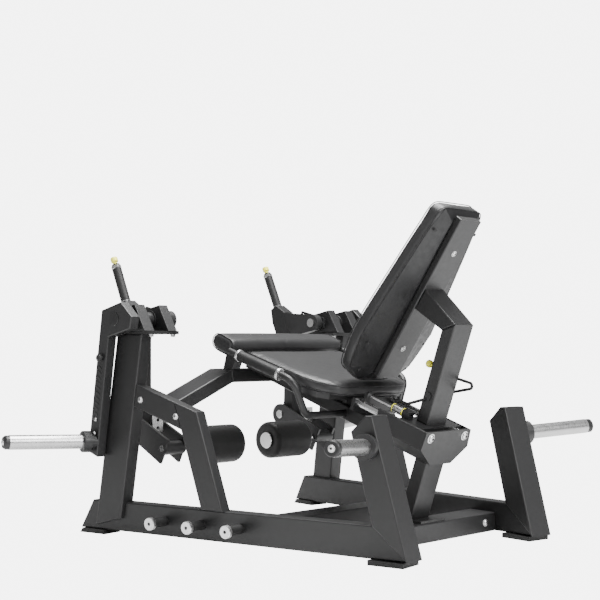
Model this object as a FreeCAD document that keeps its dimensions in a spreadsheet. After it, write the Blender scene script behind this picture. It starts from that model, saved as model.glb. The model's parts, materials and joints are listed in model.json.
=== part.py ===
"""Plate-loaded seated leg extension machine with two independent leg arms.

Millimetres, +Z up, origin at the centre of the bounding box on the floor.
The user sits facing -Y; +X is the user's left.  "Forward" is -Y, so a
forward distance f is the coordinate y = origin_shift - f.

Two frames are used beside the machine's own.  Each side frame is splayed
about the vertical: p runs forward along its rail and q points outward.
The slide frame follows the inclined guide rods of the backrest: u runs
forward and up along the rods, v is perpendicular to them.
"""
import FreeCAD
import Part
import Sketcher
import math
import os
import re

LEFT = 1
RIGHT = -1
SIDES = ((LEFT, "left"), (RIGHT, "right"))
X_AXIS = FreeCAD.Vector(1, 0, 0)
Y_AXIS = FreeCAD.Vector(0, 1, 0)
Z_AXIS = FreeCAD.Vector(0, 0, 1)

# Driving dimensions, in millimetres and degrees.
DIMENSIONS = {
    # placing of the frames
    "origin_shift": 687.69,       # forward distance of the origin from the rear posts' heels
    "splay": 9.145,               # each side frame's angle to the machine's centre plane
    "half_spread": 348.0,         # rail's centre line from the centre plane at its rear end
    "slide_tilt": 19.5,           # slope of the guide rods
    "slide_origin_f": 142.0,      # rear end of the guide rods' axes
    "slide_origin_z": 366.0,
    "recline": 34.5,              # backrest from the vertical
    "back_origin_f": 390.0,       # lower end of the backrest channel's rear face
    "back_origin_z": 552.0,
    "seat_tilt": 17.0,
    "seat_origin_f": 408.0,       # rear edge of the seat's top surface
    "seat_origin_z": 522.0,
    "tube_corner": 5.0,           # outside corner radius of the frame tubes
    # side frames
    "rail_width": 60.0,
    "front_post_width": 57.0,
    "front_post_q": 16.5,
    "rear_post_width": 97.0,
    "brace_width": 48.0,
    "brace_q": 21.0,
    "rear_foot_width": 96.0,
    "front_foot_width": 80.0,
    "pivot_plate_width": 146.0,
    "pivot_plate_q": -27.0,
    # cross members
    "crossbeam_bottom": 16.0,
    "crossbeam_height": 64.0,
    "front_crossbeam_rear": 607.0,
    "front_crossbeam_depth": 108.0,
    "rear_crossbeam_rear": 190.0,
    "rear_crossbeam_depth": 120.0,
    "centre_post_width": 100.0,
    "base_plate_width": 130.0,
    "seat_beam_width": 100.0,
    "arch_rear": 905.0,
    "arch_depth": 115.0,
    # leg pivots
    "pivot_f": 1090.0,
    "pivot_z": 755.0,
    "pivot_radius": 17.5,
    "running_gap": 0.05,
    "inner_bearing_x": 445.5,
    "inner_bearing_width": 41.0,
    "outer_bearing_x": 551.0,
    "outer_bearing_width": 46.0,
    "shaft_inner_x": 366.0,
    "shaft_outer_x": 627.0,
    # weight arms
    "weight_arm_x": 608.5,
    "weight_arm_width": 39.0,
    "weight_horn_f": 1203.0,
    "weight_horn_z": 328.0,
    "weight_horn_turn": 18.9,     # the horn points outward and this much forward
    "weight_horn_rise": 1.4,
    "weight_horn_seat": 14.0,     # length of the neck that is trimmed to the arm's face
    "weight_neck_radius": 24.0,
    "weight_neck_length": 14.0,
    "weight_collar_radius": 37.5,
    "weight_collar_length": 42.0,
    "sleeve_radius": 25.0,        # sleeve for plates with a 50 mm hole
    "weight_sleeve_length": 256.0,
    "weight_cap_radius": 24.0,
    "weight_cap_length": 20.0,
    "sector_x": 412.0,
    "sector_thickness": 8.0,
    "sector_radius": 100.0,
    "sector_hole_circle": 88.0,
    "sector_hole_radius": 5.5,
    # roller arms
    "arm_tube_x": 398.0,
    "arm_tube_width": 52.0,
    "arm_web_x": 387.0,
    "arm_web_width": 30.0,
    "arm_hub_radius": 33.0,
    "lug_f": 1240.0,
    "lug_z": 384.0,
    "lug_radius": 40.0,
    "lug_pin_radius": 15.0,
    "fork_inner_x": 351.0,
    "fork_outer_x": 435.0,
    "fork_cheek_width": 10.0,
    "roller_f": 1057.0,
    "roller_z": 301.0,
    "fork_tube_radius": 24.5,
    "roller_shaft_radius": 12.0,
    "roller_inner_x": 86.0,
    "roller_length": 190.0,
    "roller_radius": 70.0,
    "roller_round": 12.0,
    "end_disc_radius": 31.0,
    "end_disc_length": 6.0,
    "shaft_collar_radius": 22.0,
    "shaft_collar_length": 12.0,
    # start handles on the roller arms
    "handle_x": 402.0,
    "handle_f": 1302.0,
    "handle_z": 812.0,
    "handle_lean": 24.0,
    "handle_radius": 14.0,
    "handle_length": 168.0,
    "handle_collar_radius": 17.0,
    "handle_collar_length": 12.0,
    "button_radius": 8.5,
    "button_length": 36.0,
    "button_proud": 24.0,
    "button_gap": 0.5,
    "button_bore_depth": 30.0,
    # storage horns on the rear posts
    "storage_x": 448.0,
    "storage_f": 117.0,
    "storage_z": 358.0,
    "storage_turn": 21.2,         # the horn points outward and this much rearward
    "storage_rise": 3.4,
    "storage_flange_radius": 40.0,
    "storage_flange_length": 46.0,
    "storage_sleeve_length": 250.0,
    "storage_cap_radius": 24.0,
    "storage_cap_length": 22.0,
    # band pegs on the rails
    "peg_first_p": 631.0,
    "peg_spacing": 160.0,
    "peg_z": 66.0,
    "peg_radius": 16.0,
    "peg_length": 70.0,
    "peg_cap_radius": 21.5,
    "peg_cap_length": 13.0,
    # backrest slide
    "rod_x": 91.0,
    "rod_radius": 14.0,
    "rod_length": 318.0,
    "end_plate_thickness": 8.0,
    "housing_length": 205.0,
    "trough_width": 228.0,
    "trough_floor": -30.0,
    "bracket_start": 318.0,
    "bracket_thickness": 12.0,
    "carriage_start": 25.0,
    "carriage_length": 100.0,
    "bushing_radius": 20.0,
    "lock_x": 78.0,
    "lock_v": 34.0,
    "lock_rod_end": 286.0,
    "lock_tab_thickness": 8.0,
    "lock_rod_radius": 6.0,
    "lock_rod_start": 112.0,
    "lock_block_start": 100.0,
    "lock_block_length": 30.0,
    "lock_body_length": 50.0,
    "lock_body_radius": 14.0,
    # backrest
    "back_post_width": 104.0,
    "channel_width": 112.0,
    "channel_depth": 24.0,
    "shell_rear": 24.0,
    "shell_front": 47.0,
    "back_pad_front": 101.0,
    "pad_corner": 24.0,
    # release handle and pull knob
    "release_u": 75.8,
    "release_v": 112.1,
    "release_f": 176.03,          # the same axis in the machine's frame
    "release_z": 496.97,
    "release_pin_radius": 6.0,
    "release_plate_thickness": 5.0,
    "release_plate_radius": 14.0,
    "release_rod_radius": 5.0,
    "release_bend": 9.0,
    "knob_v": 204.5,
    "knob_x": 12.0,
    "knob_gap": 0.5,
    "knob_bore_depth": 34.0,
    "knob_stem_radius": 5.0,
    "knob_collar_radius": 9.0,
    "knob_radius": 13.0,
    # seat and front pad
    "seat_thickness": 42.0,
    "seat_base_thickness": 20.0,
    "seat_base_inset": 10.0,
    "front_pad_width": 588.0,
    "pad_bracket_x": 224.0,
    "pad_bracket_width": 40.0,
    "seat_riser_width": 80.0,
    # seat handles
    "seat_handle_x": 300.0,
    "seat_handle_radius": 12.5,
    "seat_grip_radius": 19.0,
    "seat_collar_radius": 21.0,
    "seat_collar_length": 10.0,
    "seat_handle_upper_bend": 55.0,
    "seat_handle_lower_bend": 34.0,
    # bolts
    "bolt_radius": 9.0,
    "bolt_length": 8.0,
    "end_bolt_radius": 15.0,
}

# Outlines: corner points in the order they are joined.
# Side frame outlines hold (p, z); centre plane outlines hold (f, z).
OUTLINES = {
    "rail": ((0, 16), (1342, 16), (1284, 117), (122, 117)),
    "front_post": ((1257, 32), (1139, 63), (1046, 703), (1160, 703)),
    "rear_post": ((0, 16), (122, 117), (197, 400), (145, 450), (122, 450)),
    "brace": ((1071.3, 529), (902, 473), (871, 380), (1082.3, 453)),
    "brace_leg": ((902, 473), (804, 441), (695.6, 117), (783.7, 117), (871, 380)),
    "rear_foot": ((14, 0), (138, 0), (138, 16), (14, 16)),
    "front_foot": ((1218, 0), (1336, 0), (1325, 16), (1224, 16)),
    "pivot_plate": ((1000, 703), (1168, 703), (1168, 715), (1000, 715)),
    "bearing_block": ((992, 715), (1166, 715), (1166, 782), (1047, 806)),
    "weight_arm": ((1162, 787), (1058, 813), (998, 762), (1008, 719), (1124, 692),
                   (1184, 275), (1234, 291)),
    "arm_tube": ((1311, 757), (1320, 812), (1290, 830), (1240, 800), (1226, 737), (1196, 702),
                 (1194, 384), (1262, 384), (1245, 433), (1243, 495), (1294, 719)),
    "arm_web": ((1090, 788), (1240, 797), (1226, 737), (1196, 702), (1090, 722)),
    "fork_cheek": ((1022, 330), (1222, 422), (1258, 346), (1066, 246)),
    "centre_post": ((252.1, 88), (184.4, 279.1), (231.5, 295.8), (305.1, 88)),
    "base_plate": ((196, 80), (308, 80), (308, 88), (196, 88)),
    "seat_beam": ((350.7, 391.1), (367.4, 343.9), (905, 534.3), (905, 587.3)),
    # slide frame (u, v)
    "back_post": ((49, 20), (96, 20), (96, 334), (49, 368.8)),
    "back_arm": ((65, 730), (121, 713), (229.9, 784.7), (185.6, 849.2)),
    "front_pad": ((847, 679), (931, 713), (959, 693), (962, 664), (931, 643), (863, 622)),
    "pad_bracket": ((905, 580), (950, 580), (931, 643), (880, 627.2)),
    "seat_riser": ((540, 458.1), (780, 543.1), (780, 570.9), (540, 497.5)),
    # backrest frame, (distance from the channel's rear face, height along it)
    "channel": ((0, 0), (24, 0), (24, 626), (0, 626)),
}

# Half outlines, mirrored about the centre plane: (half width, height or distance).
HALF_OUTLINES = {
    "back_pad": ((100, 641), (127, 570), (192, 150), (164, 10), (84, -40)),
    "shell_rim": ((95, 636), (121, 568), (187, 150), (160, 14), (81, -34)),
    "shell_spine": ((60, 602), (63, 560), (66, 150), (64, 40), (60, 8)),
    "seat": ((253, 438), (253, 140), (222, 51), (189, 12), (129, 0)),
    "seat_base": ((243, 428), (243, 150), (226, 92), (190, 66), (129, 60)),
    "housing": ((120, 22), (127, -40), (56, -96)),
    "arch_middle": ((246, 580), (236.4, 532)),
    "rod_bracket": ((112, 14), (112, -30), (50, -46)),
}

# One sloping end of the cross arch before its end is cut to the brace, (x, z).
ARCH_SLOPE = ((246, 580), (520, 465.3), (520, 413.3), (236.4, 532))

# Middle lines of the bent tubes, (x, f, z), on the user's left.
SEAT_HANDLE_PATH = ((300, 857, 643.8), (300, 548, 545.9), (244, 545, 428), (50, 545, 428))
SEAT_GRIP_ENDS = ((300, 803, 626.7), (300, 618, 568.1))
RELEASE_LOOP = ((-57.5, 172, 506), (-62, 80, 522), (-62, 84, 539), (-57.5, 150, 557))
RELEASE_LEVER = ((58, 180, 489), (58, 257, 470), (58, 302, 483))

BRACE_BOLTS = ((1051, 476), (893, 424))
BEAM_BOLT = (290, 190, 49)

doc = FreeCAD.newDocument("leg_extension")
sheet = doc.addObject("Spreadsheet::Sheet", "Dims")
nodes = []


def fill_sheet():
    """Write every driving dimension and outline point to the sheet, one row each."""
    cells = dict(DIMENSIONS)
    for table in (OUTLINES, HALF_OUTLINES):
        for name, points in table.items():
            for index, (along, up) in enumerate(points):
                cells["%s_along_%d" % (name, index)] = along
                cells["%s_up_%d" % (name, index)] = up
    for index, (across, up) in enumerate(ARCH_SLOPE):
        cells["arch_slope_along_%d" % index] = across
        cells["arch_slope_up_%d" % index] = up
    for row, (alias, number) in enumerate(cells.items(), start=1):
        sheet.set("A%d" % row, alias.replace("_", " "))
        sheet.set("B%d" % row, str(number))
        sheet.setAlias("B%d" % row, alias)
    doc.recompute()
    return set(cells)


aliases = fill_sheet()


def bound(expression):
    """The expression with each alias written as a reference to the sheet."""
    return re.sub(r"[a-z_]+[a-z0-9_]*",
                  lambda word: "Dims." + word.group() if word.group() in aliases else word.group(),
                  str(expression))


def value(expression):
    """The number that an expression over the sheet has now."""
    return float(sheet.evalExpression(bound(expression)))


def bind(item, setting, expression):
    item.setExpression(setting, bound(expression))


def at(x, forward, up):
    """A point of the machine from its side, forward and height distances."""
    return FreeCAD.Vector(x, value("origin_shift") - forward, up)


def side_placement(side):
    turn = FreeCAD.Rotation(Z_AXIS, side * value("splay"))
    return FreeCAD.Placement(at(side * value("half_spread"), 0, 0), turn)


def tilted_placement(forward, up, tilt):
    return FreeCAD.Placement(at(0, value(forward), value(up)), FreeCAD.Rotation(X_AXIS, -value(tilt)))


def centre_placement():
    return FreeCAD.Placement(at(0, 0, 0), FreeCAD.Rotation())


def slide_placement():
    return tilted_placement("slide_origin_f", "slide_origin_z", "slide_tilt")


def back_placement():
    return tilted_placement("back_origin_f", "back_origin_z", "recline")


def seat_placement():
    return tilted_placement("seat_origin_f", "seat_origin_z", "seat_tilt")


def pointing(start, direction):
    """The placement that stands a turned piece on start, along direction."""
    return FreeCAD.Placement(start, FreeCAD.Rotation(Z_AXIS, direction))


def finish(item, label):
    """Name a finished sub-part and list it for export."""
    item.Label = label
    nodes.append(item)
    return item


def new_body(name, placement):
    body = doc.addObject("PartDesign::Body", name)
    body.Placement = placement
    return body


def plane_sketch(body, role, offset):
    """A sketch on one of the body's own planes, moved along its normal."""
    sketch = body.newObject("Sketcher::SketchObject", "Sketch")
    plane = [item for item in body.Origin.OriginFeatures if item.Role == role][0]
    sketch.AttachmentSupport = [(plane, "")]
    sketch.MapMode = "FlatFace"
    bind(sketch, "AttachmentOffset.Base.z", offset)
    return sketch


def add_polygon(sketch, corners):
    """Closed polygon whose corners are driven by pairs of expressions."""
    spots = [FreeCAD.Vector(value(across), value(up), 0) for across, up in corners]
    first = sketch.GeometryCount
    count = len(spots)
    for index in range(count):
        sketch.addGeometry(Part.LineSegment(spots[index], spots[(index + 1) % count]), False)
    for index, (across, up) in enumerate(corners):
        line = first + index
        follower = first + (index + 1) % count
        sketch.addConstraint(Sketcher.Constraint("Coincident", line, 2, follower, 1))
        for kind, expression in (("DistanceX", across), ("DistanceY", up)):
            number = sketch.addConstraint(Sketcher.Constraint(kind, -1, 1, line, 1, value(expression)))
            sketch.renameConstraint(number, "%s%d" % (kind, line))
            bind(sketch, "Constraints.%s%d" % (kind, line), expression)


def add_circle(sketch, across, up, radius):
    """Circle whose centre and radius are driven by expressions."""
    centre = FreeCAD.Vector(value(across), value(up), 0)
    circle = sketch.addGeometry(Part.Circle(centre, Z_AXIS, value(radius)), False)
    for kind, expression in (("DistanceX", across), ("DistanceY", up)):
        number = sketch.addConstraint(Sketcher.Constraint(kind, -1, 1, circle, 3, value(expression)))
        sketch.renameConstraint(number, "%s%d" % (kind, circle))
        bind(sketch, "Constraints.%s%d" % (kind, circle), expression)
    number = sketch.addConstraint(Sketcher.Constraint("Radius", circle, value(radius)))
    sketch.renameConstraint(number, "Radius%d" % circle)
    bind(sketch, "Constraints.Radius%d" % circle, radius)


def add_pad(body, sketch, length, both_ways=False):
    pad = body.newObject("PartDesign::Pad", "Pad")
    pad.Profile = sketch
    pad.Midplane = both_ways
    bind(pad, "Length", length)
    doc.recompute()
    return pad


def add_bore(body, sketch):
    """Cut the sketch through the whole body, both ways."""
    before = body.Shape.Volume
    pocket = body.newObject("PartDesign::Pocket", "Bore")
    pocket.Profile = sketch
    pocket.Type = "ThroughAll"
    pocket.Midplane = True
    doc.recompute()
    if body.Shape.Volume >= before:
        raise RuntimeError("a bore in %s cuts nothing" % body.Name)


def round_edges(body, feature, chosen, radius):
    """Fillet the feature's edges that the chosen test picks."""
    names = ["Edge%d" % number for number, edge in enumerate(feature.Shape.Edges, start=1)
             if chosen(edge)]
    fillet = body.newObject("PartDesign::Fillet", "Fillet")
    fillet.Base = (feature, names)
    bind(fillet, "Radius", radius)
    doc.recompute()
    return fillet


def lies_flat(edge, axis):
    """Whether an edge lies in one plane across the given axis (0 x, 1 y, 2 z)."""
    box = edge.BoundBox
    return (box.XLength, box.YLength, box.ZLength)[axis] < 0.01


def runs_along(edge, axis):
    """Whether a straight edge runs along the given axis."""
    box = edge.BoundBox
    spans = [box.XLength, box.YLength, box.ZLength]
    longest = spans.pop(axis)
    return longest > 1 and max(spans) < 0.01


def outline(name):
    """Corners of a named outline for a sketch on the body's YZ plane."""
    return [("-%s_along_%d" % (name, index), "%s_up_%d" % (name, index))
            for index in range(len(OUTLINES[name]))]


def half_outline(name, turned=False):
    """Corners of a mirrored half outline, for the XZ plane or, turned, for the XY plane."""
    count = len(HALF_OUTLINES[name])
    up = "-%s_up_%d" if turned else "%s_up_%d"
    right = [("%s_along_%d" % (name, index), up % (name, index)) for index in range(count)]
    left = [("-" + across, up) for across, up in reversed(right)]
    return right + left


def prism(label, placement, corners, across, width, rounding="tube_corner"):
    """Piece cut from a tube or plate: an upright outline with a width along X."""
    body = new_body(label, placement)
    sketch = plane_sketch(body, "YZ_Plane", across)
    add_polygon(sketch, corners)
    pad = add_pad(body, sketch, width, both_ways=True)
    if rounding:
        round_edges(body, pad, lambda edge: lies_flat(edge, 0), rounding)
    return body


def turned(label, placement, profile):
    """Piece turned about its own Z axis from (radius, height) expressions."""
    body = new_body(label, placement)
    sketch = plane_sketch(body, "XZ_Plane", "0")
    add_polygon(sketch, profile)
    spin = body.newObject("PartDesign::Revolution", "Revolution")
    spin.Profile = sketch
    spin.ReferenceAxis = (sketch, ["V_Axis"])
    spin.Angle = 360
    doc.recompute()
    return body


def rod(name, placement, radius, length):
    cylinder = doc.addObject("Part::Cylinder", name)
    bind(cylinder, "Radius", radius)
    bind(cylinder, "Height", length)
    cylinder.Placement = placement
    return cylinder


def across_rod(name, side, start, end, forward, up, radius):
    """Cylinder along X between two distances from the centre plane."""
    base = at(side * value(start), value(forward), value(up))
    return rod(name, pointing(base, X_AXIS * side), radius, "%s - (%s)" % (end, start))


def trimmed(name, item, cutter):
    """The item less the finished sub-part it is welded to."""
    cut = doc.addObject("Part::Cut", name)
    cut.Base = item
    cut.Tool = [node for node in nodes if node.Label == cutter][0]
    return cut


def group(label, members):
    """One node made of several separate solids."""
    compound = doc.addObject("Part::Compound", label)
    compound.Links = members
    return finish(compound, label)


def bent_tube(name, points, radius, bends):
    """Tube along straight runs joined by tangent arcs; bends holds each corner's radius."""
    corners = [at(*point) for point in points]
    edges = []
    start = corners[0]
    for index, bend in enumerate(bends, start=1):
        inward = (corners[index - 1] - corners[index]).normalize()
        outward = (corners[index + 1] - corners[index]).normalize()
        half_angle = inward.getAngle(outward) / 2
        reach = bend / math.tan(half_angle)
        first = corners[index] + inward * reach
        last = corners[index] + outward * reach
        bisector = (inward + outward).normalize()
        centre = corners[index] + bisector * (bend / math.sin(half_angle))
        middle = centre - bisector * bend
        edges.append(Part.LineSegment(start, first).toShape())
        edges.append(Part.Arc(first, middle, last).toShape())
        start = last
    edges.append(Part.LineSegment(start, corners[-1]).toShape())
    path = Part.Wire(edges)
    section = Part.Wire([Part.makeCircle(radius, corners[0], corners[1] - corners[0])])
    tube = doc.addObject("Part::Feature", name)
    tube.Shape = path.makePipeShell([section], True, True)
    expected = math.pi * radius ** 2 * path.Length
    if abs(tube.Shape.Volume / expected - 1) > 0.02:
        raise RuntimeError("%s has the wrong volume" % name)
    return tube


def horn_direction(side, turn, rise):
    """Unit vector outward, turned forward in plan and raised, both in degrees."""
    flat = math.cos(math.radians(rise))
    return FreeCAD.Vector(side * flat * math.cos(math.radians(turn)),
                          -flat * math.sin(math.radians(turn)),
                          math.sin(math.radians(rise)))


# ---------------------------------------------------------------- side frames
def make_rail(side, name):
    """Floor rail with a slanted front end, notched where the front post passes."""
    label = "side_rail_" + name
    body = new_body(label, side_placement(side))
    sketch = plane_sketch(body, "YZ_Plane", "0")
    add_polygon(sketch, outline("rail"))
    pad = add_pad(body, sketch, "rail_width", both_ways=True)
    round_edges(body, pad, lambda edge: lies_flat(edge, 0), "tube_corner")
    inner_face = "%d * (front_post_q - front_post_width / 2)" % side
    notch = plane_sketch(body, "YZ_Plane", inner_face)
    add_polygon(notch, outline("front_post"))
    before = body.Shape.Volume
    pocket = body.newObject("PartDesign::Pocket", "Notch")
    pocket.Profile = notch
    pocket.Reversed = side == LEFT
    bind(pocket, "Length", "front_post_width")
    doc.recompute()
    if body.Shape.Volume >= before:
        raise RuntimeError("the notch cuts nothing")
    finish(body, label)


def make_side_frame(side, name):
    """Rail, both posts, and the brace with its leg."""
    placement = side_placement(side)
    make_rail(side, name)
    front_q = "%d * front_post_q" % side
    brace_q = "%d * brace_q" % side
    finish(prism("front_post_" + name, placement, outline("front_post"), front_q,
                 "front_post_width"), "front_post_" + name)
    finish(prism("rear_post_" + name, placement, outline("rear_post"), "0",
                 "rear_post_width"), "rear_post_" + name)
    brace = prism("brace_" + name, placement, outline("brace"), brace_q, "brace_width")
    leg = prism("brace_leg_" + name, placement, outline("brace_leg"), brace_q, "brace_width")
    group("side_brace_" + name, [brace, leg])


def make_foot_pads():
    """Rubber pads under both ends of both rails."""
    members = []
    for side, name in SIDES:
        placement = side_placement(side)
        members.append(prism("rear_foot_" + name, placement, outline("rear_foot"), "0",
                             "rear_foot_width", rounding=None))
        members.append(prism("front_foot_" + name, placement, outline("front_foot"), "0",
                             "front_foot_width", rounding=None))
    group("foot_pads", members)


def make_band_pegs():
    """Three pegs on each rail's outer face, each with a broad end cap."""
    pegs = []
    caps = []
    for side, name in SIDES:
        placement = side_placement(side)
        for number in range(3):
            along = value("peg_first_p") + number * value("peg_spacing")
            out = X_AXIS * side
            face = FreeCAD.Vector(side * value("rail_width") / 2, -along, value("peg_z"))
            peg = rod("peg_%s_%d" % (name, number), placement.multiply(pointing(face, out)),
                      "peg_radius", "peg_length")
            end = face + out * value("peg_length")
            cap = turned("peg_cap_%s_%d" % (name, number), placement.multiply(pointing(end, out)),
                         [("0", "0"), ("peg_cap_radius", "0"),
                          ("peg_cap_radius", "peg_cap_length - 2"),
                          ("peg_cap_radius - 2", "peg_cap_length"), ("6", "peg_cap_length"),
                          ("5", "peg_cap_length - 3"), ("0", "peg_cap_length - 3")])
            pegs.append(peg)
            caps.append(cap)
    group("band_pegs", pegs)
    group("band_peg_caps", caps)


# -------------------------------------------------------------- cross members
def rail_inner_x(forward):
    """Expression for the rails' inner faces from the centre plane, at a forward distance."""
    return "half_spread - rail_width / 2 / cos(splay) + (%s) * tan(splay)" % forward


def brace_inner_x(forward):
    """Expression for the braces' inner faces from the centre plane, at a forward distance."""
    return ("half_spread + (brace_q - brace_width / 2) / cos(splay) + (%s) * tan(splay)"
            % forward)


def make_crossbeams():
    """Two floor beams between the rails, their ends cut to the splay."""
    members = []
    for name in ("rear", "front"):
        body = new_body(name + "_crossbeam", centre_placement())
        sketch = plane_sketch(body, "XY_Plane", "crossbeam_bottom")
        back = "%s_crossbeam_rear" % name
        fore = "%s_crossbeam_rear + %s_crossbeam_depth" % (name, name)
        corners = [(rail_inner_x(back), "-(%s)" % back), (rail_inner_x(fore), "-(%s)" % fore)]
        mirrored = [("-(%s)" % across, along) for across, along in reversed(corners)]
        add_polygon(sketch, corners + mirrored)
        pad = add_pad(body, sketch, "crossbeam_height")
        round_edges(body, pad, lambda edge: runs_along(edge, 0), "tube_corner")
        members.append(body)
    group("crossbeams", members)


def make_centre_post():
    """Leaning post from the rear crossbeam to the slide housing, on a base plate."""
    post = prism("centre_post_tube", centre_placement(), outline("centre_post"), "0",
                 "centre_post_width")
    plate = prism("centre_post_foot", centre_placement(), outline("base_plate"), "0",
                  "base_plate_width", rounding=None)
    group("centre_post", [post, plate])


def make_cross_arch():
    """Flat tube that arches over the centre between the two side braces."""
    members = []
    body = new_body("arch_middle", centre_placement())
    sketch = plane_sketch(body, "XZ_Plane", "arch_rear")
    add_polygon(sketch, half_outline("arch_middle"))
    pad = add_pad(body, sketch, "arch_depth")
    round_edges(body, pad, lambda edge: lies_flat(edge, 1), "tube_corner")
    members.append(body)
    for side, name in SIDES:
        body = new_body("arch_" + name, centre_placement())
        sketch = plane_sketch(body, "XZ_Plane", "arch_rear")
        corners = [("%d * arch_slope_along_%d" % (side, index), "arch_slope_up_%d" % index)
                   for index in range(len(ARCH_SLOPE))]
        add_polygon(sketch, corners)
        pad = add_pad(body, sketch, "arch_depth")
        round_edges(body, pad, lambda edge: lies_flat(edge, 1), "tube_corner")
        end = plane_sketch(body, "XY_Plane", "0")
        rear = "arch_rear - 10"
        fore = "arch_rear + arch_depth + 10"
        add_polygon(end, [("%d * (%s)" % (side, brace_inner_x(rear)), "-(%s)" % rear),
                          ("%d * (%s)" % (side, brace_inner_x(fore)), "-(%s)" % fore),
                          ("%d * (arch_slope_along_1 + 60)" % side, "-(%s)" % fore),
                          ("%d * (arch_slope_along_1 + 60)" % side, "-(%s)" % rear)])
        add_bore(body, end)
        members.append(body)
    group("cross_arch", members)


def make_seat_beam():
    finish(prism("seat_beam", centre_placement(), outline("seat_beam"), "0", "seat_beam_width"),
           "seat_beam")


# ------------------------------------------------------------------ leg pivots
def make_pivot_plates():
    """Plates on the front posts' tops that carry the bearing blocks."""
    members = [prism("plate_" + name, side_placement(side), outline("pivot_plate"),
                     "%d * pivot_plate_q" % side, "pivot_plate_width", rounding=None)
               for side, name in SIDES]
    group("pivot_plates", members)


def make_bearing_blocks():
    """An inner and an outer block on each plate, bored for the pivot shaft."""
    members = []
    for side, name in SIDES:
        for which in ("inner", "outer"):
            across = "%d * %s_bearing_x" % (side, which)
            body = prism("%s_bearing_%s" % (which, name), centre_placement(),
                         outline("bearing_block"), across, which + "_bearing_width", "3")
            bore = plane_sketch(body, "YZ_Plane", across)
            add_circle(bore, "-pivot_f", "pivot_z", "pivot_radius + running_gap")
            add_bore(body, bore)
            members.append(body)
    group("bearing_blocks", members)


def make_pivot_shaft(side, name):
    """Shaft that carries the weight arm outside and the roller arm inside."""
    label = "pivot_shaft_" + name
    finish(across_rod(label, side, "shaft_inner_x", "shaft_outer_x", "pivot_f", "pivot_z",
                      "pivot_radius"), label)


def make_weight_arm(side, name):
    """Hanging lever with a hub block, fixed to the outer end of the shaft."""
    label = "weight_arm_" + name
    across = "%d * weight_arm_x" % side
    body = prism(label, centre_placement(), outline("weight_arm"), across, "weight_arm_width")
    bore = plane_sketch(body, "YZ_Plane", across)
    add_circle(bore, "-pivot_f", "pivot_z", "pivot_radius")
    add_bore(body, bore)
    finish(body, label)


def make_weight_horn(side, name):
    """Collar in the lever, sleeve for the plates, and a tapered cap."""
    direction = horn_direction(side, value("weight_horn_turn"), value("weight_horn_rise"))
    face = side * (value("weight_arm_x") + value("weight_arm_width") / 2)
    root = at(face, value("weight_horn_f"), value("weight_horn_z"))
    start = root - direction * value("weight_horn_seat")
    collar = turned("weight_collar_" + name, pointing(start, direction),
                    [("0", "0"), ("weight_neck_radius", "0"),
                     ("weight_neck_radius", "weight_horn_seat + weight_neck_length"),
                     ("weight_collar_radius", "weight_horn_seat + weight_neck_length"),
                     ("weight_collar_radius", "weight_horn_seat + weight_collar_length - 2"),
                     ("weight_collar_radius - 2", "weight_horn_seat + weight_collar_length"),
                     ("0", "weight_horn_seat + weight_collar_length")])
    sleeve_start = root + direction * value("weight_collar_length")
    sleeve_label = "weight_sleeve_" + name
    finish(rod(sleeve_label, pointing(sleeve_start, direction), "sleeve_radius",
               "weight_sleeve_length"), sleeve_label)
    cap_start = sleeve_start + direction * value("weight_sleeve_length")
    cap = turned("weight_cap_" + name, pointing(cap_start, direction),
                 [("0", "0"), ("weight_cap_radius", "0"),
                  ("weight_cap_radius", "weight_cap_length - 8"),
                  ("weight_cap_radius - 5", "weight_cap_length"),
                  ("0", "weight_cap_length")])
    group("weight_horn_ends_" + name,
          [trimmed("trimmed_collar_" + name, collar, "weight_arm_" + name), cap])


def make_sector_plate(side, name):
    """Index sector on the shaft, with a row of holes for the start position."""
    label = "sector_plate_" + name
    across = "%d * sector_x" % side
    body = new_body(label, centre_placement())
    sketch = plane_sketch(body, "YZ_Plane", across)
    reach = value("sector_radius")
    corners = [("-(pivot_f - 34)", "pivot_z + 20")]
    for degrees in (30, 15, 0, -15, -30):
        corners.append(("-(pivot_f + %.3f * sector_radius)" % math.cos(math.radians(degrees)),
                        "pivot_z + %.3f * sector_radius" % math.sin(math.radians(degrees))))
    corners.append(("-(pivot_f - 34)", "pivot_z - 20"))
    add_polygon(sketch, corners)
    add_pad(body, sketch, "sector_thickness", both_ways=True)
    bore = plane_sketch(body, "YZ_Plane", across)
    add_circle(bore, "-pivot_f", "pivot_z", "pivot_radius")
    for degrees in range(-24, 25, 12):
        along = "-(pivot_f + %.4f * sector_hole_circle)" % math.cos(math.radians(degrees))
        height = "pivot_z + %.4f * sector_hole_circle" % math.sin(math.radians(degrees))
        add_circle(bore, along, height, "sector_hole_radius")
    add_bore(body, bore)
    if reach > value("arm_tube_along_5") - value("pivot_f") + 20:
        raise RuntimeError("the sector reaches the arm's tube")
    finish(body, label)


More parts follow.
